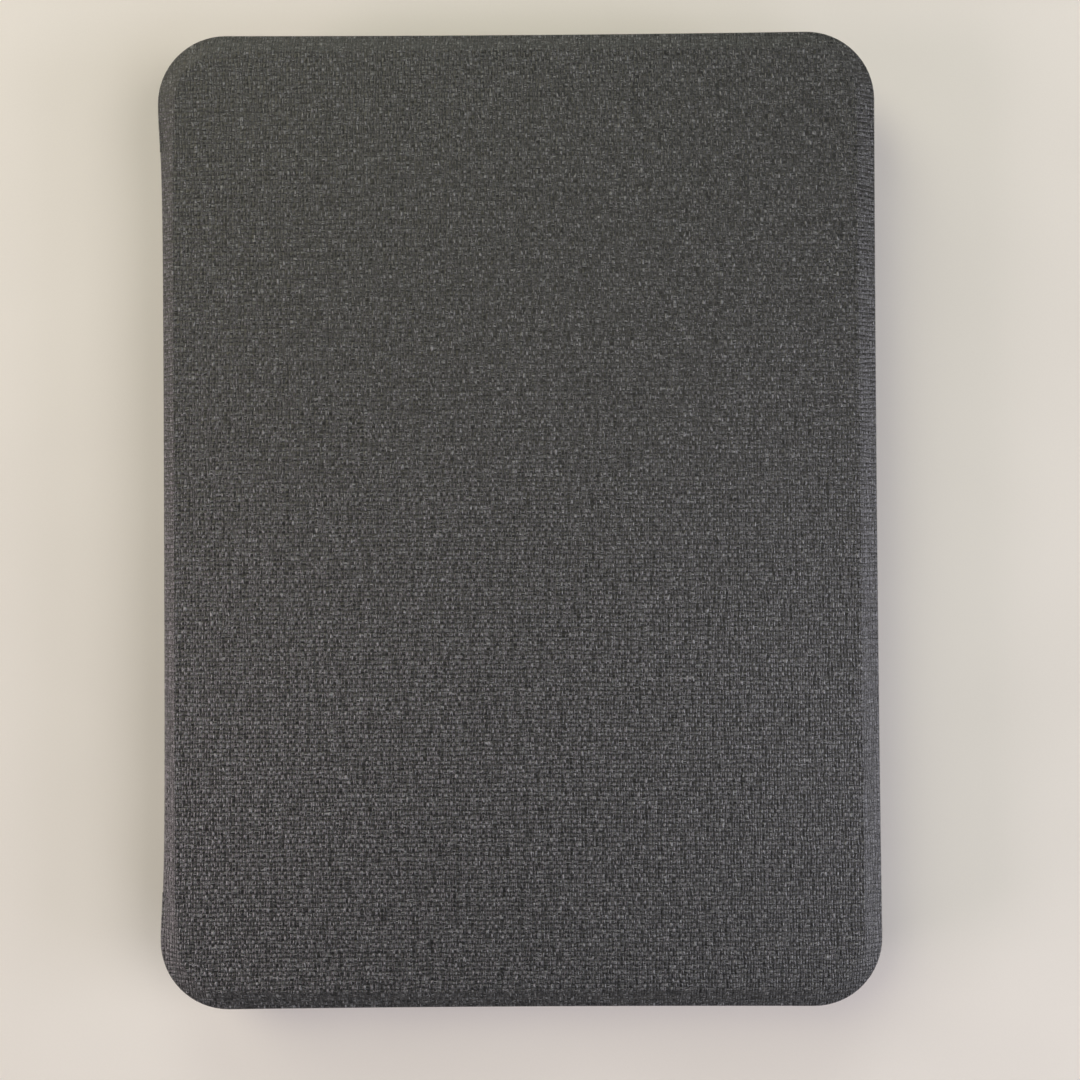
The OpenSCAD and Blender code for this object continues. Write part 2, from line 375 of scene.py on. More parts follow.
class NodeGraph:
    """A material's nodes, with a method for each kind that the finishes use."""

    def __init__(self, name: str) -> None:
        """Makes an empty material.

        Args:
            name: The material's name.
        """
        self.material = bpy.data.materials.new(name)
        self.material.use_nodes = True
        self.tree = self.material.node_tree
        self.tree.nodes.clear()

    def node(self, kind: str, **settings: object) -> bpy.types.Node:
        """Adds a node.

        Args:
            kind: The node's type.
            **settings: Its settings.

        Returns:
            The node.
        """
        made = self.tree.nodes.new(kind)
        for key, value in settings.items():
            setattr(made, key, value)
        return made

    def feed(self, socket: Socket, value: object) -> None:
        """Links a socket to another, or sets it to a constant.

        Args:
            socket: The input.
            value: An output, a constant, or None to leave the input as it is.
        """
        if isinstance(value, bpy.types.NodeSocket):
            self.tree.links.new(value, socket)
        elif value is not None:
            socket.default_value = value

    def math(self, operation: str, a: object, b: object = None, c: object = None) -> Socket:
        """Works out one sum.

        Args:
            operation: The Math node's operation.
            a: First number or socket.
            b: Second, if the operation has one.
            c: Third, if the operation has one.

        Returns:
            The result's socket.
        """
        made = self.node("ShaderNodeMath", operation=operation)
        for socket, value in zip(made.inputs, (a, b, c)):
            self.feed(socket, value)
        return made.outputs[0]

    def blend(self, share: object, a: object, b: object) -> Socket:
        """Mixes two numbers.

        Args:
            share: How much of the second, from 0 to 1.
            a: First number or socket.
            b: Second number or socket.

        Returns:
            The result's socket.
        """
        made = self.node("ShaderNodeMix", data_type="FLOAT")
        for socket, value in zip(made.inputs[0:1] + made.inputs[2:4], (share, a, b)):
            self.feed(socket, value)
        return made.outputs[0]

    def tint(self, share: Socket, a: object, b: object) -> Socket:
        """Mixes two colours.

        Args:
            share: How much of the second, from 0 to 1.
            a: First colour.
            b: Second colour.

        Returns:
            The result's socket.
        """
        made = self.node("ShaderNodeMix", data_type="RGBA")
        for index, value in ((0, share), (6, a), (7, b)):
            self.feed(made.inputs[index], value)
        return made.outputs[2]

    def between(
        self, value: Socket, low: float, high: float, start: float = 0, end: float = 1
    ) -> Socket:
        """Maps one range onto another, smoothly, and holds the ends outside it.

        Args:
            value: What is mapped.
            low: Where the first range starts.
            high: Where it ends.
            start: What low becomes.
            end: What high becomes.

        Returns:
            The result's socket.
        """
        made = self.node("ShaderNodeMapRange", interpolation_type="SMOOTHSTEP")
        for socket, number in zip(made.inputs, (value, low, high, start, end)):
            self.feed(socket, number)
        return made.outputs[0]

    def vector(self, x: object, y: object, z: object = 0.0) -> Socket:
        """Joins three numbers into a vector.

        Args:
            x: First number or socket.
            y: Second.
            z: Third.

        Returns:
            The vector's socket.
        """
        made = self.node("ShaderNodeCombineXYZ")
        for socket, value in zip(made.inputs, (x, y, z)):
            self.feed(socket, value)
        return made.outputs[0]

    def parts(self, vector: Socket) -> tuple[Socket, Socket, Socket]:
        """Splits a vector.

        Args:
            vector: The vector's socket.

        Returns:
            The sockets of its three numbers.
        """
        made = self.node("ShaderNodeSeparateXYZ")
        self.feed(made.inputs[0], vector)
        return tuple(made.outputs)

    def object_place(self) -> Socket:
        """The point's place on the piece, in metres."""
        return self.node("ShaderNodeTexCoord").outputs["Object"]

    def cloth_place(self) -> tuple[Socket, Socket]:
        """The point's place on the unrolled cloth, in metres."""
        made = self.node("ShaderNodeUVMap", uv_map=CLOTH_MAP)
        return self.parts(made.outputs[0])[:2]

    def noise(
        self, place: Socket, size: float, detail: float = 2, roughness: float = 0.5
    ) -> Socket:
        """Soft noise about 0.5.

        Args:
            place: Where it is read.
            size: The size of its features, in the units of place.
            detail: How many finer layers it has.
            roughness: How strong the finer layers are.

        Returns:
            The noise's value.
        """
        made = self.node("ShaderNodeTexNoise")
        self.feed(made.inputs["Vector"], place)
        made.inputs["Scale"].default_value = 1 / size
        made.inputs["Detail"].default_value = detail
        made.inputs["Roughness"].default_value = roughness
        return made.outputs["Fac"]

    def finish(
        self,
        colour: object,
        roughness: object,
        height: Socket,
        relief: float,
        **settings: object,
    ) -> bpy.types.Material:
        """Ends the graph in the surface shader.

        Args:
            colour: Base colour.
            roughness: Roughness.
            height: Height of the surface's relief, from 0 to 1.
            relief: How far apart heights 0 and 1 are, in metres.
            **settings: Constants for the shader's other sockets, with _ for a space.

        Returns:
            The finished material.
        """
        shader = self.node("ShaderNodeBsdfPrincipled")
        self.feed(shader.inputs["Base Color"], colour)
        self.feed(shader.inputs["Roughness"], roughness)
        for key, value in settings.items():
            shader.inputs[key.replace("_", " ")].default_value = value
        bump = self.node("ShaderNodeBump")
        bump.inputs["Strength"].default_value = 1.0
        bump.inputs["Distance"].default_value = relief
        self.feed(bump.inputs["Height"], height)
        self.feed(shader.inputs["Normal"], bump.outputs[0])
        output = self.node("ShaderNodeOutputMaterial")
        self.feed(output.inputs["Surface"], shader.outputs[0])
        return self.material


Colour = tuple[float, float, float, float]


@dataclass(frozen=True)
class BookCloth:
    """Linen-look cloth, woven one over one from dark threads with paler fibres and slubs in them."""

    warp_pitch: float = 0.538 * MM
    weft_pitch: float = 0.841 * MM
    wander: float = 1.0 * MM
    wander_width: float = 1.3 * MM
    wander_length: float = 5 * MM
    slub_length: float = 2.4 * MM
    uneven_size: float = 0.5 * MM
    fibre_width: float = 0.19 * MM
    fibre_length: float = 1.3 * MM
    dark: Colour = (0.003, 0.0032, 0.0034, 1)
    pale: Colour = (0.205, 0.214, 0.222, 1)
    relief: float = 0.14 * MM
    gloss: float = 0.7
    thread_step: float = 0.73
    valley: float = 0.35
    weft_top: float = 0.8
    fibre_height: float = 0.3
    # Painted shade and highlight: how dark the colour gets in the low gaps between threads, and how pale
    # on their raised crowns.
    painted_gap_shade_range: tuple[float, float] = (0.3, 1.15)
    fibre_range: tuple[float, float, float, float] = (0.42, 0.68, 0.0, 1.15)
    slub_range: tuple[float, float, float, float] = (0.34, 0.72, 0.3, 1.3)
    uneven_range: tuple[float, float, float, float] = (0.3, 0.7, 0.45, 1.1)
    roughness_range: tuple[float, float, float, float] = (0.1, 0.8, 0.42, 0.33)

    def strayed(self, graph: NodeGraph, across: Socket, along: Socket, seed: float) -> Socket:
        """A place across the threads, after they have strayed from even rows.

        Args:
            graph: The material's nodes.
            across: Place across the threads.
            along: Place along them.
            seed: Tells one direction's threads from the other's.

        Returns:
            The place in metres.
        """
        place = graph.vector(
            graph.math("DIVIDE", across, self.wander_width),
            graph.math("DIVIDE", along, self.wander_length),
            seed,
        )
        stray = graph.math("SUBTRACT", graph.noise(place, 1, 1), 0.5)
        return graph.math("MULTIPLY_ADD", stray, self.wander, across)

    def thread(self, graph: NodeGraph, across: Socket, pitch: float) -> tuple[Socket, Socket]:
        """Divides the cloth into threads.

        Args:
            graph: The material's nodes.
            across: Place across the threads.
            pitch: Distance from thread to thread.

        Returns:
            The thread's number, and the height of its round back, from 0 to 1.
        """
        turns = graph.math("DIVIDE", across, pitch)
        number = graph.math("FLOOR", turns)
        back = graph.math("SINE", graph.math("MULTIPLY", graph.math("FRACT", turns), math.pi))
        return number, back

    def tone(
        self, graph: NodeGraph, number: Socket, across: Socket, along: Socket, seed: float
    ) -> Socket:
        """How pale a thread is at a place.

        Args:
            graph: The material's nodes.
            number: The thread's number.
            across: Place across the thread.
            along: Place along it.
            seed: Tells one direction's threads from the other's.

        Returns:
            The paleness, from about 0 to 1.
        """
        run = graph.math("DIVIDE", along, self.slub_length)
        apart = graph.math("MULTIPLY", number, self.thread_step)
        slub = graph.noise(graph.vector(apart, run, seed), 1, 2, 0.6)
        fine = graph.vector(
            graph.math("DIVIDE", across, self.fibre_width),
            graph.math("DIVIDE", along, self.fibre_length),
            seed,
        )
        fibre = graph.between(graph.noise(fine, 1, 1), *self.fibre_range)
        return graph.math("MULTIPLY", fibre, graph.between(slub, *self.slub_range))

    def make(self) -> bpy.types.Material:
        """Builds the cloth's material.

        Returns:
            The finished material.
        """
        graph = NodeGraph("book_cloth")
        u, v = graph.cloth_place()
        warp_at = self.strayed(graph, u, v, 3.0)
        weft_at = self.strayed(graph, v, u, 8.0)
        warp_number, warp_back = self.thread(graph, warp_at, self.warp_pitch)
        weft_number, weft_back = self.thread(graph, weft_at, self.weft_pitch)
        half = graph.math("MULTIPLY", graph.math("ADD", warp_number, weft_number), 0.5)
        warp_on_top = graph.math("GREATER_THAN", graph.math("FRACT", half), 0.25)

        over_weft = graph.blend(weft_back, self.valley, 1.0)
        over_warp = graph.blend(warp_back, self.valley, self.weft_top)
        warp_height = graph.math("MULTIPLY", warp_back, over_weft)
        weft_height = graph.math("MULTIPLY", weft_back, over_warp)
        warp_tone = self.tone(graph, warp_number, warp_at, v, 1.0)
        weft_tone = self.tone(graph, weft_number, weft_at, u, 9.0)
        tone = graph.blend(warp_on_top, weft_tone, warp_tone)
        height = graph.blend(warp_on_top, weft_height, warp_height)
        uneven = graph.noise(graph.vector(u, v, 0.03), self.uneven_size, 2, 0.6)
        height = graph.math("MULTIPLY", height, graph.between(uneven, *self.uneven_range))
        # Painted shade in the gaps between threads and a little painted highlight on their crowns, by
        # thread height.
        tone = graph.math("MULTIPLY", tone, graph.blend(height, *self.painted_gap_shade_range))
        return graph.finish(
            graph.tint(tone, self.dark, self.pale),
            graph.between(height, *self.roughness_range),
            graph.math("ADD", height, graph.math("MULTIPLY", tone, self.fibre_height)),
            self.relief,
            Specular_IOR_Level=self.gloss,
        )


@dataclass(frozen=True)
class Microfibre:
    """Dark suede-like lining with a short brushed nap."""

    name: str = "microfibre_lining"
    nap_size: float = 0.22 * MM
    patch_size: float = 9 * MM
    patch_share: float = 0.14
    dark: Colour = (0.011, 0.011, 0.012, 1)
    pale: Colour = (0.036, 0.036, 0.039, 1)
    relief: float = 0.05 * MM

    def make(self) -> bpy.types.Material:
        """Builds the lining's material.

        Returns:
            The finished material.
        """
        graph = NodeGraph(self.name)
        place = graph.object_place()
        nap = graph.noise(place, self.nap_size, 3, 0.65)
        patches = graph.noise(place, self.patch_size, 2)
        mixed = graph.blend(self.patch_share, nap, patches)
        colour = graph.tint(graph.between(mixed, 0.3, 0.7), self.dark, self.pale)
        roughness = graph.between(patches, 0.3, 0.7, 0.82, 0.95)
        return graph.finish(
            colour,
            roughness,
            nap,
            self.relief,
            Specular_IOR_Level=0.2,
            Sheen_Weight=0.35,
            Sheen_Roughness=0.4,
        )


@dataclass(frozen=True)
class MouldedShell:
    """Black moulded plastic with a fine spark-eroded grain."""

    grain_size: float = 0.13 * MM
    flow_size: float = 14 * MM
    dark: Colour = (0.0085, 0.0085, 0.009, 1)
    pale: Colour = (0.016, 0.016, 0.017, 1)
    relief: float = 0.018 * MM

    def make(self) -> bpy.types.Material:
        """Builds the shell's material.

        Returns:
            The finished material.
        """
        graph = NodeGraph("moulded_shell")
        place = graph.object_place()
        grain = graph.noise(place, self.grain_size, 2, 0.6)
        flow = graph.noise(place, self.flow_size, 2)
        colour = graph.tint(graph.between(flow, 0.3, 0.7), self.dark, self.pale)
        roughness = graph.between(flow, 0.25, 0.75, 0.42, 0.56)
        return graph.finish(colour, roughness, grain, self.relief, Specular_IOR_Level=0.45)


@dataclass(frozen=True)
class GreyBoard:
    """Compressed board of mixed paper fibres."""

    fibre_size: float = 0.5 * MM
    fleck_size: float = 1.3 * MM
    dark: Colour = (0.2, 0.17, 0.13, 1)
    pale: Colour = (0.36, 0.31, 0.24, 1)
    relief: float = 0.04 * MM

    def make(self) -> bpy.types.Material:
        """Builds the board's material.

        Returns:
            The finished material.
        """
        graph = NodeGraph("grey_board")
        place = graph.object_place()
        fibres = graph.noise(place, self.fibre_size, 4, 0.7)
        flecks = graph.between(graph.noise(place, self.fleck_size, 3, 0.7), 0.6, 0.72, 1.0, 0.55)
        share = graph.math("MULTIPLY", graph.between(fibres, 0.3, 0.7), flecks)
        return graph.finish(graph.tint(share, self.dark, self.pale), 0.9, fibres, self.relief)


@dataclass(frozen=True)
class AdhesiveSheet:
    """Milky transfer adhesive."""

    ripple_size: float = 3 * MM
    dark: Colour = (0.55, 0.53, 0.45, 1)
    pale: Colour = (0.72, 0.7, 0.62, 1)
    relief: float = 0.03 * MM

    def make(self) -> bpy.types.Material:
        """Builds the adhesive's material.

        Returns:
            The finished material.
        """
        graph = NodeGraph("adhesive_sheet")
        ripple = graph.noise(graph.object_place(), self.ripple_size, 3)
        colour = graph.tint(graph.between(ripple, 0.3, 0.7), self.dark, self.pale)
        return graph.finish(colour, 0.35, ripple, self.relief)


@dataclass(frozen=True)
class PlatedMagnet:
    """Nickel plate with fine tumbling marks."""

    mark_size: float = 0.6 * MM
    dark: Colour = (0.42, 0.41, 0.4, 1)
    pale: Colour = (0.55, 0.54, 0.52, 1)
    relief: float = 0.01 * MM

    def make(self) -> bpy.types.Material:
        """Builds the magnets' material.

        Returns:
            The finished material.
        """
        graph = NodeGraph("plated_magnet")
        marks = graph.noise(graph.object_place(), self.mark_size, 4, 0.7)
        colour = graph.tint(graph.between(marks, 0.3, 0.7), self.dark, self.pale)
        roughness = graph.between(marks, 0.3, 0.7, 0.2, 0.38)
        return graph.finish(colour, roughness, marks, self.relief, Metallic=1.0)


@dataclass(frozen=True)
class Tabletop:
    """Matt pale laminate, hardly patterned."""

    cloud_size: float = 60 * MM
    grain_size: float = 0.4 * MM
    dark: Colour = (0.86, 0.83, 0.785, 1)
    pale: Colour = (0.9, 0.87, 0.825, 1)
    relief: float = 0.01 * MM

    def make(self) -> bpy.types.Material:
        """Builds the tabletop's material.

        Returns:
            The finished material.
        """
        graph = NodeGraph("tabletop")
        place = graph.object_place()
        clouds = graph.noise(place, self.cloud_size, 2)
        grain = graph.noise(place, self.grain_size, 2)
        mixed = graph.blend(0.2, clouds, grain)
        colour = graph.tint(graph.between(mixed, 0.3, 0.7), self.dark, self.pale)
        return graph.finish(colour, 0.7, grain, self.relief, Specular_IOR_Level=0.3)


@dataclass
class Palette:
    """Every finish on the case, made once."""

    cloth: bpy.types.Material = field(init=False)
    lining: bpy.types.Material = field(init=False)
    shell: bpy.types.Material = field(init=False)
    board: bpy.types.Material = field(init=False)
    adhesive: bpy.types.Material = field(init=False)
    magnet: bpy.types.Material = field(init=False)

    def __post_init__(self) -> None:
        """Makes the materials."""
        self.cloth = BookCloth().make()
        self.lining = Microfibre().make()
        self.shell = MouldedShell().make()
        self.board = GreyBoard().make()
        self.adhesive = AdhesiveSheet().make()
        self.magnet = PlatedMagnet().make()


# ---------------------------------------------------------------------------------------------
# The case
# ---------------------------------------------------------------------------------------------


@dataclass
class CaseSizes:
    """The case's sizes, read off the frame, with the few that a box doesn't give."""

    corner_r: float = 12.7 * MM
    hem_w: float = 8 * MM
    lining_margin: float = 1 * MM
    cloth_t: float = 0.42 * MM
    lining_t: float = 0.3 * MM
    press_w: float = 2.3 * MM
    lead: float = 0.15 * MM
    slit_gap: float = 0.3 * MM
    end_gap: float = 0.08 * MM
    end_rows: tuple[float, ...] = (1, 2.5, 5, 8, 12, 17, 24, 34, 48)
    width: float = field(init=False)
    length: float = field(init=False)
    height: float = field(init=False)
    border_w: float = field(init=False)
    fold_x: float = field(init=False)
    fold_r: float = field(init=False)
    spine_half: float = field(init=False)
    skin_t: float = field(init=False)
    board_high: float = field(init=False)
    lining_face: float = field(init=False)
    slit: float = field(init=False)

    def __post_init__(self) -> None:
        """Reads the boxes of the CAD nodes that the cloth follows."""
        low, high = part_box("front_skin")
        self.width = high.x - low.x
        self.length = high.y - low.y
        self.height = high.z
        board_low, board_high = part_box("rear_board")
        self.border_w = high.x - board_high.x
        self.skin_t = board_low.z
        self.board_high = board_high.z
        strip_low, strip_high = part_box("rear_hinge_skin")
        self.fold_x = strip_high.x
        self.fold_r = strip_high.z
        self.slit = strip_high.y + self.slit_gap
        self.spine_half = self.slit - self.end_gap
        self.lining_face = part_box("rear_lining")[1].z

    @property
    def rows(self) -> list[float]:
        """Where the spine and the folds are cut across, closer together towards their ends."""
        near_end = [self.spine_half - row * MM for row in self.end_rows]
        return [0, *near_end, *[-place for place in near_end]]

    def fold_drop(self, across: float) -> float:
        """How far a fold's face lies below the cover's.

        Args:
            across: Distance out from where the fold starts.

        Returns:
            The drop.
        """
        reach = max(across, self.press_w)
        drop = self.fold_r - math.sqrt(self.fold_r**2 - reach**2)
        return drop * min(1.0, max(0.0, (across - self.lead) / (self.press_w - self.lead)))


@dataclass
class ClothRun:
    """Where each area of the one long cloth lies when it is unrolled."""

    sizes: CaseSizes

    def turn(self, across: float, up: float) -> float:
        """Length of cloth round a fold, for the angle whose tangent is across over up."""
        return self.sizes.fold_r * math.atan2(across, up)

    @property
    def fold_length(self) -> float:
        """Length of cloth round one fold."""
        return self.sizes.fold_r * math.pi / 2

    @property
    def spine_length(self) -> float:
        """Height of the spine between the folds."""
        return self.sizes.height - 2 * self.sizes.fold_r

    def front_cover(self, place: Vector) -> tuple[float, float]:
        """Where a point of the front cover lies on the unrolled cloth."""
        return place.x, place.y

    def front_fold(self, place: Vector) -> tuple[float, float]:
        """Where a point of the fold beside the front cover lies on the unrolled cloth."""
        s = self.sizes
        return s.fold_x - self.turn(s.fold_x - place.x, place.z - (s.height - s.fold_r)), place.y

    def spine(self, place: Vector) -> tuple[float, float]:
        """Where a point of the spine lies on the unrolled cloth."""
        s = self.sizes
        return s.fold_x - self.fold_length - (s.height - s.fold_r - place.z), place.y

    def rear_fold(self, place: Vector) -> tuple[float, float]:
        """Where a point of the fold beside the rear cover lies on the unrolled cloth."""
        s = self.sizes
        start = s.fold_x - self.fold_length - self.spine_length
        return start - self.turn(s.fold_r - place.z, s.fold_x - place.x), place.y

    def rear_cover(self, place: Vector) -> tuple[float, float]:
        """Where a point of the rear cover lies on the unrolled cloth."""
        s = self.sizes
        return s.fold_x - 2 * self.fold_length - self.spine_length - (place.x - s.fold_x), place.y


@dataclass
class Flare:
    """How the folds are pressed flat, and how the spine's cloth stands out at its two ends."""

    sizes: CaseSizes
    reach: float = 0.42 * MM
    fade: float = 9 * MM
    bow: float = 0.08 * MM

    def __call__(self, place: Vector) -> Vector:
        """How far a point of the spine or a fold moves.

        Args:
            place: The point.

        Returns:
            Its move.
        """
        s = self.sizes
        from_end = max(0.0, s.spine_half - abs(place.y))
        share = min(1.0, max(0.0, (s.fold_x - place.x) / s.fold_r))
        flare = self.reach * math.exp(-from_end / self.fade)
        bow = self.bow * (1 - (place.y / s.spine_half) ** 2)
        return Vector(((bow - flare) * share**2, 0, 0)) + self.pressed(place)

    def pressed(self, place: Vector) -> Vector:
        """How far a point of a fold moves in to lie on the pressed flat.

        Args:
            place: The point.

        Returns:
            Its move.
        """
        s = self.sizes
        out = Vector((place.x - s.fold_x, 0, place.z - (s.height - s.fold_r)))
        start, end = math.asin(s.lead / s.fold_r), math.asin(s.press_w / s.fold_r)
        turn = math.atan2(-out.x, out.z)
        if out.z < TINY or not start < turn < end:
            return Vector((0, 0, 0))
        along = end * ((turn - start) / (end - start) - 0.5)
        return -out.normalized() * s.fold_r * (1 - math.cos(end / 2) / math.cos(along))


@dataclass
class Cover:
    """One cover's cloth and lining."""

    side: Side
    sizes: CaseSizes
    run: ClothRun
    palette: Palette
    corner_steps: int = 16
    edge_steps: int = 4
    ridge_r: float = 0.8 * MM
    ridge_in: float = 0.3 * MM
    ridge_steps: int = 4
    bow: float = 0.22 * MM
    ear_blend: float = 8 * MM
    ear_curl: float = 0.28 * MM
    ear_least: float = 0.3
    ear_rows: tuple[float, ...] = (0, 0.12, 0.26, 0.42, 0.6, 0.8, 1)
    columns: int = 7
    rows: int = 9
    rim_w: float = 0.4 * MM
    top_w: float = 0.6 * MM
    press_reach: float = 1.2 * MM
    step_dip: float = 0.06 * MM
    step_insets: tuple[float, ...] = (0.3 * MM, 0.25 * MM, 0.3 * MM, 0.8 * MM)

    @property
    def body(self) -> str:
        """The CAD body that this cover rides on."""
        return f"{self.side.value}_cover"

    def grid(self, half: float, pieces: int) -> list[float]:
        """Places that divide a side evenly, without its ends."""
        return [half * (2 * k / pieces - 1) for k in range(1, pieces)]

    def edge_rises(self) -> list[tuple[float, float]]:
        """The round of the folded edge.

        Returns:
            Places in from the outline and up from the edge's middle.
        """
        r = self.sizes.skin_t
        start = math.radians(90 / (2 * self.edge_steps + 1))
        rises = [
            start + (math.pi / 2 - start) * step / self.edge_steps for step in range(self.edge_steps + 1)
        ]
        return [(r - r * math.cos(a), r * math.sin(a)) for a in rises]

    def slope_rises(self) -> list[tuple[float, float]]:
        """The bevel and the soft ridge above it.

        Returns:
            Places in from the outline and up from the edge's middle.
        """
        s = self.sizes
        foot = Vector((s.skin_t, s.skin_t))
        ridge = Vector((s.border_w + self.ridge_in, s.board_high))
        along = (ridge - foot).normalized()
        tilt = math.atan2(along.y, along.x)
        tangent = self.ridge_r * math.tan(tilt / 2)
        start = ridge - along * tangent
        centre = start + Vector((along.y, -along.x)) * self.ridge_r
        rises = [tuple(foot.lerp(start, share)) for share in (0.1, 0.5, 0.9)]
        for step in range(self.ridge_steps + 1):
            a = tilt * (1 - step / self.ridge_steps)
            rises.append((centre.x - self.ridge_r * math.sin(a), centre.y + self.ridge_r * math.cos(a)))
        rises.append((rises[-1][0] + self.top_w, rises[-1][1]))
        return rises

    def steps(self, rises: list[tuple[float, float]]) -> list[tuple[float, float]]:
        """Turns places into the insets that lead from each to the next."""
        return [(b[0] - a[0], b[1] - a[1]) for a, b in zip(rises, rises[1:])]

    def bowed(self, place: Vector) -> Vector:
        """How far the pull of the cloth draws a point of the border in, between the corners.

        Args:
            place: The point.

        Returns:
            Its move.
        """
        s = self.sizes
        move = Vector((0, 0, 0))
        for axis, half, length in ((0, s.width / 2, s.length), (1, s.length / 2, s.width)):
            depth = half - abs(place[axis])
            straight = length / 2 - s.corner_r
            middle = 1 - min(1.0, abs(place[1 - axis]) / straight) ** 2
            share = max(0.0, 1 - depth / s.border_w)
            move[axis] = -math.copysign(self.bow * middle * share, place[axis])
        return move

    def depth(self, place: Vector) -> tuple[float, Vector]:
        """How far a point lies inside the cover's outline.

        Args:
            place: The point.

        Returns:
            The distance to the outline, and the way out to it.
        """
        s = self.sizes
        beyond = Vector((abs(place.x) - s.width / 2, abs(place.y) - s.length / 2))
        beyond += Vector((s.corner_r, s.corner_r))
        if min(beyond) > 0:
            deep, outward = s.corner_r - beyond.length, beyond.normalized()
        elif beyond.x > beyond.y:
            deep, outward = s.corner_r - beyond.x, Vector((1, 0))
        else:
            deep, outward = s.corner_r - beyond.y, Vector((0, 1))
        return deep, Vector((math.copysign(outward.x, place.x), math.copysign(outward.y, place.y), 0))

    def section(self) -> list[Vector]:
        """The border's section, from its flat top round the edge to the end of the hem.

        Returns:
            Places in from the outline and up from the edge's middle.
        """
        arc = [Vector(rise) for rise in self.edge_rises()]
        top = [Vector(rise) for rise in self.slope_rises()]
        under = [Vector((rise.x, -rise.y)) for rise in arc]
        hem_end = Vector((self.sizes.hem_w, -self.sizes.skin_t))
        return [*reversed(top), *reversed(arc), Vector((0, 0)), *under, hem_end]

    def unrolled(self, place: Vector) -> tuple[float, float]:
        """Where a point lay on the cloth before it was wrapped round the border.

        Args:
            place: The point.

        Returns:
            Its place on the unrolled cloth.
        """
        s = self.sizes
        front = self.side is Side.FRONT
        base = self.run.front_cover if front else self.run.rear_cover
        up = (place.z if front else s.height - place.z) - (s.height - s.board_high)
        deep, outward = self.depth(place)
        section = self.section()
        at_spine = abs(place.y) < s.slit + TINY and place.x < 0
        if up > 0 and (deep > section[0].x or (at_spine and place.x > s.fold_x - TINY)):
            return base(place)
        here = Vector((deep, up))
        best, walked, length = math.inf, 0.0, 0.0
        for a, b in zip(section, section[1:]):
            span = b - a
            share = min(1.0, max(0.0, (here - a).dot(span) / span.length_squared))
            gap = (here - a - span * share).length
            if gap < best:
                best, walked = gap, length + span.length * share
            length += span.length
        return base(place + outward * (deep + walked - section[0].x))

    def ear_end(self, place: Vector) -> Vector:
        """How a point near the slit moves, so that the border runs on into the fold beside it.

        Args:
            place: The point.

        Returns:
            Its move.
        """
        s = self.sizes
        up = place.z - (s.height - s.board_high)
        share = 1 - (abs(place.y) - s.slit) / self.ear_blend
        if not 0 < share <= 1 + TINY or place.x > s.fold_x:
            return Vector((0, 0, 0))
        share = share * share * (3 - 2 * share)
        across = min(s.fold_r, s.fold_x - place.x)
        round_up = s.board_high - s.fold_drop(across)
        lift = share * (max(round_up, self.ear_least * up) - up) if up > 0 else 0.0
        return Vector((self.ear_curl * share * min(1.0, across / s.fold_r), 0, lift))

    def cloth(self) -> bpy.types.Object:
        """Builds the outer cloth, with its bevelled border and its turned-in hem.

        Returns:
            The finished piece.
        """
        s = self.sizes
        arc = self.edge_rises()
        band = 2 * arc[0][1]
        middle = s.height - s.board_high
        work = Workpiece.block(
            f"{self.side.value}_cover_cloth", (s.width, s.length, band), Vector((0, 0, middle))
        )
        work.round_corners(s.corner_r, self.corner_steps)
        work.slice(0, self.grid(s.width / 2 - s.corner_r, self.columns))
        slit = s.slit
        ears = [slit + self.ear_blend * share for share in self.ear_rows]
        work.slice(1, self.grid(s.length / 2 - s.corner_r, self.rows))
        work.slice(1, [*ears, *[-row for row in ears]])
        rises = [(0, arc[0][1]), *arc[1:]]
        work.faces(lambda place: place.z > middle + band / 2 - TINY)
        work.inset(self.steps([*rises, *self.slope_rises()]))
        work.faces(lambda place: place.z < middle - band / 2 + TINY)
        hem = s.hem_w - rises[-1][0] - self.rim_w
        work.inset([*self.steps(rises), (hem, 0), (self.rim_w, 0)]).remove()

        fold_x = s.fold_x
        hem_x = -s.width / 2 + s.hem_w + TINY
        flat_x = fold_x + self.press_reach
        work.slice(0, [fold_x])
        work.faces(lambda at: abs(at.y) < slit and at.x < fold_x).remove()
        work.faces(lambda at: abs(at.y) < slit and at.x < hem_x and at.z < middle).remove()
        work.points(
            lambda at: abs(at.y) < slit + TINY and at.x < flat_x and at.z > middle + 1 * MM
        ).flatten(s.height)
        for end in (-slit, slit):
            work.rims(lambda at: abs(at.y - end) < TINY and at.x < fold_x + TINY).cap()
        work.shift(self.ear_end)
        work.shift(self.bowed)
        work.tidy()
        if self.side is Side.REAR:
            work.mirrored(s.height / 2)
        obj = work.thicken(s.cloth_t)
        smooth(obj)
        lay_out(obj, self.unrolled)
        dress(obj, self.palette.cloth)
        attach(obj, self.body)
        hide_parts(f"{self.side.value}_skin")
        return obj

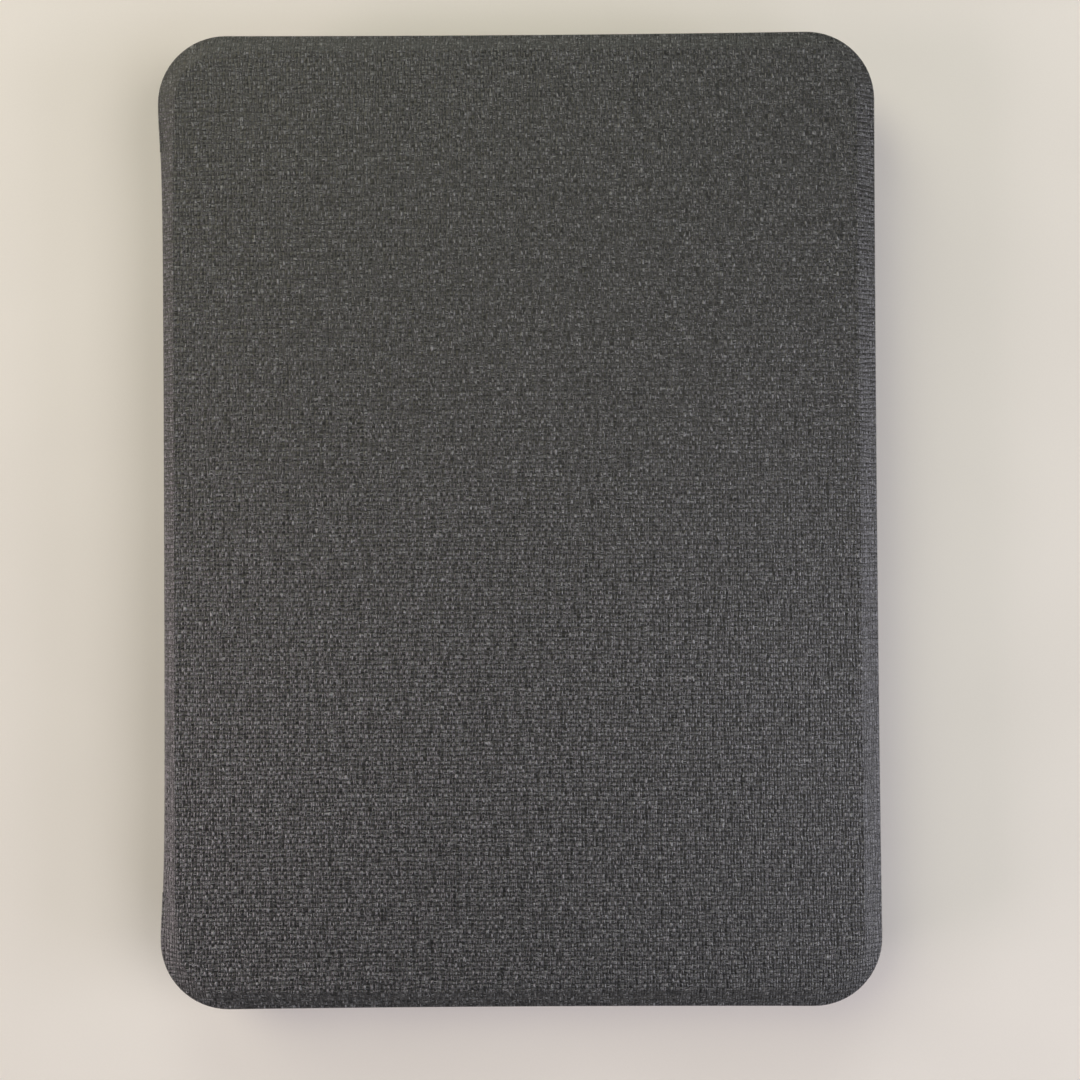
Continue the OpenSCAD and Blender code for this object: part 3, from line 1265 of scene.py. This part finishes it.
    def lining(self) -> bpy.types.Object:
        """Builds the lining, which lies on the hem, the board and the board's edge at the spine.

        Returns:
            The finished piece.
        """
        s = self.sizes
        face = s.height - s.lining_face
        work = Workpiece.plate(
            f"{self.side.value}_cover_lining",
            (s.width - 2 * s.lining_margin, s.length - 2 * s.lining_margin),
            Vector((0, 0, face)),
        )
        bpy.ops.mesh.select_all(action="SELECT")
        bpy.ops.mesh.flip_normals()
        work.round_corners(s.corner_r - s.lining_margin, self.corner_steps)
        work.faces(lambda place: True)
        work.inset([(s.hem_w - s.lining_margin, 0)], open_edges=True)
        slit = s.slit
        work.slice(0, [s.fold_x, *self.grid(s.width / 2 - s.corner_r, self.columns)])
        work.slice(1, [-slit, slit, *self.grid(s.length / 2 - s.corner_r, self.rows)])
        work.faces(lambda place: abs(place.y) < slit and place.x < s.fold_x).remove()
        inner_x, inner_y = s.width / 2 - s.hem_w, s.length / 2 - s.hem_w
        work.faces(
            lambda at: (abs(at.y) < slit and at.x < 0) or (abs(at.x) < inner_x and abs(at.y) < inner_y)
        )
        dip = self.step_dip
        work.inset(zip(self.step_insets, (-dip, 2 * dip - s.skin_t, -dip, 0)))
        work.rims(lambda at: abs(at.y) < slit - TINY and at.x < s.fold_x + TINY)
        work.extrude(Vector((0, 0, s.lining_face - 2 * s.skin_t - s.lining_t)))
        work.tidy()
        if self.side is Side.REAR:
            work.mirrored(s.height / 2)
        obj = work.thicken(s.lining_t)
        smooth(obj, 50)
        dress(obj, self.palette.lining)
        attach(obj, self.body)
        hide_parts(f"{self.side.value}_lining")
        return obj

    def build(self) -> list[bpy.types.Object]:
        """Builds the cover's pieces, and dresses the board that they wrap.

        Returns:
            The cloth and the lining.
        """
        dress(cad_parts[f"{self.side.value}_board"], self.palette.board)
        return [self.cloth(), self.lining()]


@dataclass
class Fold:
    """The cloth and lining that bend between one cover and the spine."""

    side: Side
    sizes: CaseSizes
    run: ClothRun
    palette: Palette
    flare: Flare
    arc_steps: int = 14

    def strip(self, name: str, radius: float, outwards: bool, thickness: float) -> bpy.types.Object:
        """Spins one strip round the fold.

        Args:
            name: The piece's name.
            radius: Radius of the face that shows.
            outwards: Whether that face looks out of the case.
            thickness: The strip's thickness, behind that face.

        Returns:
            The finished strip.
        """
        s = self.sizes
        centre = Vector((s.fold_x, 0, s.height - s.fold_r))
        turn_centre = centre + Vector((-s.lead, 0, s.lead))
        start_x = s.fold_x - s.lead
        work = Workpiece.plate(
            name,
            (s.lead, 2 * s.spine_half),
            Vector((s.fold_x - s.lead / 2, 0, centre.z + radius)),
        )
        work.edges(lambda place: place.x < start_x + TINY / 2)
        work.spin(turn_centre, math.pi / 2, self.arc_steps)
        work.extrude(Vector((0, 0, -s.lead)))
        work.slice(1, s.rows)
        work.tidy()
        if not outwards:
            bpy.ops.mesh.select_all(action="SELECT")
            bpy.ops.mesh.flip_normals()
        work.shift(self.flare)
        if self.side is Side.REAR:
            work.mirrored(s.height / 2)
        obj = work.thicken(thickness)
        smooth(obj)
        return obj

    def build(self) -> list[bpy.types.Object]:
        """Builds the fold's cloth and lining.

        Returns:
            Both pieces.
        """
        s = self.sizes
        name = self.side.value
        made = []
        cover_at = Vector((s.fold_x, 0, s.height))
        spine_at = Vector((s.fold_x - s.fold_r, 0, s.height - s.fold_r))
        if self.side is Side.REAR:
            cover_at.z, spine_at.z = 0, s.fold_r
        inner_r = s.fold_r - s.skin_t - s.lining_t
        strips = (
            ("cloth", "skin", s.fold_r, True, s.cloth_t, self.palette.cloth),
            ("lining", "lining", inner_r, False, s.lining_t, self.palette.lining),
        )
        for word, node, radius, outwards, thickness, material in strips:
            obj = self.strip(f"{name}_fold_{word}", radius, outwards, thickness)
            lay_out(obj, self.run.front_fold if self.side is Side.FRONT else self.run.rear_fold)
            dress(obj, material)
            if self.side is Side.FRONT:
                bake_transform(obj)
            else:
                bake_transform(obj)
            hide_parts(f"{name}_hinge_{node}")
            made.append(obj)
        return made


@dataclass
class Spine:
    """The spine's cloth and lining."""

    sizes: CaseSizes
    run: ClothRun
    palette: Palette
    flare: Flare
    board_inset: float = 0.6 * MM
    rim_share: float = 0.2
    panel_rows: int = 4

    def upright(self, name: str, x: float, rows: list[tuple[float, float]]) -> Workpiece:
        """Raises a sheet that stands along the spine, from a plate on its lower edge.

        Args:
            name: The piece's name.
            x: Where its lower edge stands.
            rows: How far each row of faces moves towards +X and up.

        Returns:
            The workpiece, facing -X.
        """
        s = self.sizes
        work = Workpiece.plate(name, (1 * MM, 2 * s.spine_half), Vector((x + 0.5 * MM, 0, s.fold_r)))
        work.points(lambda place: place.x > x + 0.5 * MM).remove("VERT")
        work.edges(lambda place: True)
        for across, up in rows:
            work.extrude(Vector((across, 0, up)))
        work.slice(1, s.rows)
        work.shift(self.flare)
        bpy.ops.mesh.select_all(action="SELECT")
        bpy.ops.mesh.normals_make_consistent(inside=False)
        return work

    def face_to(self, work: Workpiece, x_sign: float) -> None:
        """Turns the sheet's faces to look along X.

        Args:
            work: The sheet, open in edit mode.
            x_sign: 1 for +X or -1 for -X.
        """
        cage = bmesh.from_edit_mesh(work.obj.data)
        if sum(face.normal.x for face in cage.faces) * x_sign < 0:
            bpy.ops.mesh.select_all(action="SELECT")
            bpy.ops.mesh.flip_normals()

    def build(self) -> list[bpy.types.Object]:
        """Builds the spine's cloth and lining, and dresses its board.

        Returns:
            Both pieces.
        """
        s = self.sizes
        dress(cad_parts["spine_board"], self.palette.board)
        tall = s.height - 2 * s.fold_r
        outer_x = s.fold_x - s.fold_r
        count = self.panel_rows
        work = self.upright("spine_panel_cloth", outer_x, [(0, tall / count)] * count)
        self.face_to(work, -1)
        cloth = work.thicken(s.cloth_t)
        lay_out(cloth, self.run.spine)
        dress(cloth, self.palette.cloth)

        low_x = outer_x + s.skin_t + s.lining_t
        board_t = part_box("spine_board")[1].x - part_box("spine_board")[0].x
        rim = self.board_inset * self.rim_share
        slope = self.board_inset - rim
        panel = [(0, (tall - 2 * self.board_inset) / count)] * count
        rows = [(0, rim), (board_t, slope), *panel, (-board_t, slope), (0, rim)]
        work = self.upright("spine_panel_lining", low_x, rows)
        for end in (-s.spine_half, s.spine_half):
            work.rims(lambda place: abs(place.y - end) < TINY and place.x > low_x + board_t / 2)
            work.extrude(Vector((-board_t - s.lining_t, 0, 0)))
        work.tidy()
        self.face_to(work, 1)
        lining = work.thicken(s.lining_t)
        dress(lining, self.palette.lining)
        for obj, word, node in ((cloth, "cloth", "spine_skin"), (lining, "lining", "spine_lining")):
            smooth(obj)
            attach(obj, "spine")
            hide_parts(node)
        return [cloth, lining]


@dataclass
class Stage:
    """The tabletop, the lights and the camera."""

    sizes: CaseSizes
    table_size: float = 6.0
    lamp_size: float = 0.5
    lamp_distance: float = 1.0
    eye: tuple[float, float, float] = (4.416 * MM, -5.897 * MM, 215.476 * MM)
    tilt: tuple[float, float, float] = (0.54, 0.127, -0.381)
    angle_of_view: float = 53

    def table(self) -> None:
        """Lays the tabletop under the case."""
        bpy.ops.object.select_all(action="DESELECT")
        bpy.ops.mesh.primitive_plane_add(size=self.table_size, location=(0, 0, 0))
        obj = bpy.context.object
        obj.name = "tabletop"
        dress(obj, Tabletop().make())

    def lamp(
        self, name: str, azimuth: float, elevation: float, colour: tuple[float, float, float]
    ) -> None:
        """Hangs one square soft light that faces the middle of the case.

        Args:
            name: The light's name.
            azimuth: Where it hangs, in degrees round from +X towards +Y.
            elevation: How many degrees it hangs above the tabletop.
            colour: Its power in watts, in red, green and blue.
        """
        power = max(colour)
        data = bpy.data.lights.new(name, "AREA")
        data.shape = "SQUARE"
        data.size = self.lamp_size
        data.energy = power
        data.color = [share / power for share in colour]
        obj = bpy.data.objects.new(name, data)
        bpy.context.scene.collection.objects.link(obj)
        around, above = math.radians(azimuth), math.radians(elevation)
        level = math.cos(above)
        way = Vector((math.cos(around) * level, math.sin(around) * level, math.sin(above)))
        obj.location = way * self.lamp_distance
        obj.rotation_euler = (-way).to_track_quat("-Z", "Y").to_euler()

    def lights(self) -> None:
        """Lights the case softly from both sides and the head, as windows, lamps and walls do."""
        self.lamp("window", -10, 15, (4.6, 4.5, 5.15))
        self.lamp("far_window", -45, 35, (1.3, 1.3, 1.5))
        self.lamp("ceiling", 0, 50, (2.1, 1.95, 1.8))
        self.lamp("head_wall", 90, 27, (1.6, 1.7, 1.5))
        self.lamp("lamplight", 135, 22, (1.6, 1.5, 1.15))
        self.lamp("high_wall", 140, 50, (2.4, 2.3, 1.65))
        self.lamp("rosy_wall", 194, 15, (5.8, 4.9, 5.15))
        world = bpy.data.worlds.new("room")
        bpy.context.scene.world = world
        world.use_nodes = True
        sky = world.node_tree.nodes["Background"]
        sky.inputs["Color"].default_value = (0.93, 0.95, 1.0, 1)
        sky.inputs["Strength"].default_value = 0.1

    def camera(self) -> None:
        """Looks straight down on the case, a little from the foot."""
        data = bpy.data.cameras.new("camera")
        data.sensor_fit = "HORIZONTAL"
        data.angle = math.radians(self.angle_of_view)
        obj = bpy.data.objects.new("camera", data)
        bpy.context.scene.collection.objects.link(obj)
        obj.location = self.eye
        obj.rotation_euler = [math.radians(a) for a in self.tilt]
        bpy.context.scene.camera = obj
        bpy.context.scene.view_settings.view_transform = "Standard"

    def build(self) -> None:
        """Sets the stage."""
        self.table()
        self.lights()
        self.camera()


@dataclass
class TabletCase:
    """The whole case."""

    sizes: CaseSizes = field(default_factory=CaseSizes)
    palette: Palette = field(default_factory=Palette)
    felt_r: float = 9.8 * MM
    felt_edge: float = 0.1 * MM
    felt_steps: int = 12

    def felt(self) -> bpy.types.Object:
        """Lays the thin felt that the tablet rests on, in the floor of its shell.

        Returns:
            The finished piece.
        """
        low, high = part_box("shell_pad")
        size = high - low
        edge = self.felt_edge
        side = size.z - edge
        centre = Vector(((low.x + high.x) / 2, (low.y + high.y) / 2, low.z + side / 2))
        work = Workpiece.block("shell_felt", (size.x, size.y, side), centre)
        work.round_corners(self.felt_r, self.felt_steps)
        work.faces(lambda place: place.z > low.z + side - TINY)
        work.inset([(edge * 0.3, edge * 0.7), (edge * 0.7, edge * 0.3)])
        work.tidy()
        obj = work.close()
        smooth(obj, 50)
        dress(obj, self.palette.lining)
        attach(obj, "rear_cover")
        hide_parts("shell_pad")
        return obj

    def build(self) -> list[bpy.types.Object]:
        """Builds every piece, and dresses the CAD nodes that stay.

        Returns:
            Every piece.
        """
        run = ClothRun(self.sizes)
        flare = Flare(self.sizes)
        made = []
        for side in Side:
            made += Cover(side, self.sizes, run, self.palette).build()
            made += Fold(side, self.sizes, run, self.palette, flare).build()
        made += Spine(self.sizes, run, self.palette, flare).build()
        made.append(self.felt())
        for node, material in (
            ("tablet_shell", self.palette.shell),
            ("shell_adhesive", self.palette.adhesive),
            ("closure_magnets", self.palette.magnet),
            ("wake_magnet", self.palette.magnet),
        ):
            dress(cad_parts[node], material)
        return made


def main() -> None:
    """Builds the case and its stage, and logs how many faces each piece has."""
    logging.basicConfig(level=logging.INFO, format="%(name)s: %(message)s")
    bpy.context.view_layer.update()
    case = TabletCase()
    for piece in case.build():
        log.info("%s: %d faces", piece.name, len(piece.data.polygons))
    Stage(case.sizes).build()
    bpy.context.view_layer.update()


if __name__ == "__main__":
    main()
